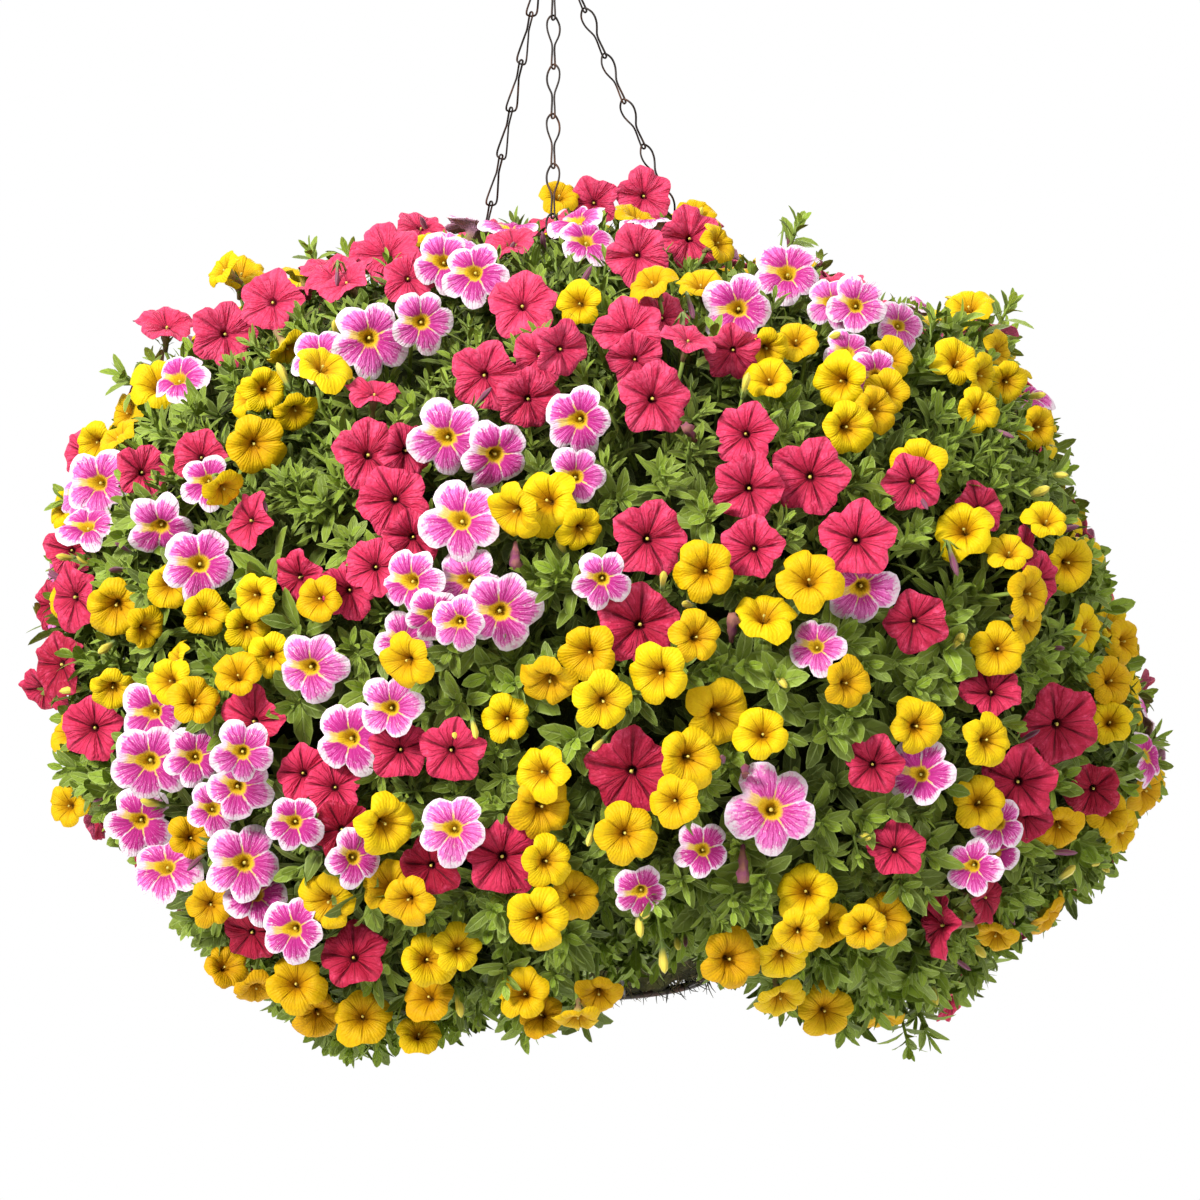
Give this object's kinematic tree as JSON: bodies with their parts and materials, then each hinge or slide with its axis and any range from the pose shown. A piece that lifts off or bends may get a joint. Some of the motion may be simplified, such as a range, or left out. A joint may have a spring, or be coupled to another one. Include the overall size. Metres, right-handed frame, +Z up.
{
  "type": "petunia hanging basket",
  "caption": "Moss-lined wire basket hung on chains from a hook, filled with a dome of trailing petunia and calibrachoa blooms.",
  "frame": {"origin": "where the support meets the underside of the hook's bend, on the basket's vertical axis", "axes": "+Z up; the camera of the picture stands on the -Y side, with +X to its right"},
  "size_m": [0.6788, 0.7013, 0.7176],
  "materials": {
    "dark_wire": "dark brown weathered wire",
    "moss": "matte green-brown sphagnum moss",
    "soil": "matte dark potting soil",
    "flowering_growth": "soft matte petals and leaves"
  },
  "bodies": {
    "root": {"hanging_hook": "dark_wire", "chain_right": "dark_wire", "chain_left": "dark_wire", "chain_front": "dark_wire", "wire_basket": "dark_wire", "moss_liner": "moss", "potting_soil": "soil", "crown_spray_01": "flowering_growth", "crown_spray_02": "flowering_growth", "crown_spray_03": "flowering_growth", "crown_spray_04": "flowering_growth", "crown_spray_05": "flowering_growth", "crown_spray_06": "flowering_growth", "crown_spray_07": "flowering_growth", "crown_spray_08": "flowering_growth", "crown_spray_09": "flowering_growth", "crown_spray_10": "flowering_growth", "crown_spray_11": "flowering_growth", "crown_spray_12": "flowering_growth", "trailing_spray_01": "flowering_growth", "trailing_spray_02": "flowering_growth", "trailing_spray_03": "flowering_growth", "trailing_spray_04": "flowering_growth", "trailing_spray_05": "flowering_growth", "trailing_spray_06": "flowering_growth", "trailing_spray_07": "flowering_growth", "trailing_spray_08": "flowering_growth", "trailing_spray_09": "flowering_growth", "trailing_spray_10": "flowering_growth", "trailing_spray_11": "flowering_growth", "trailing_spray_12": "flowering_growth"}
  },
  "joints": []
}
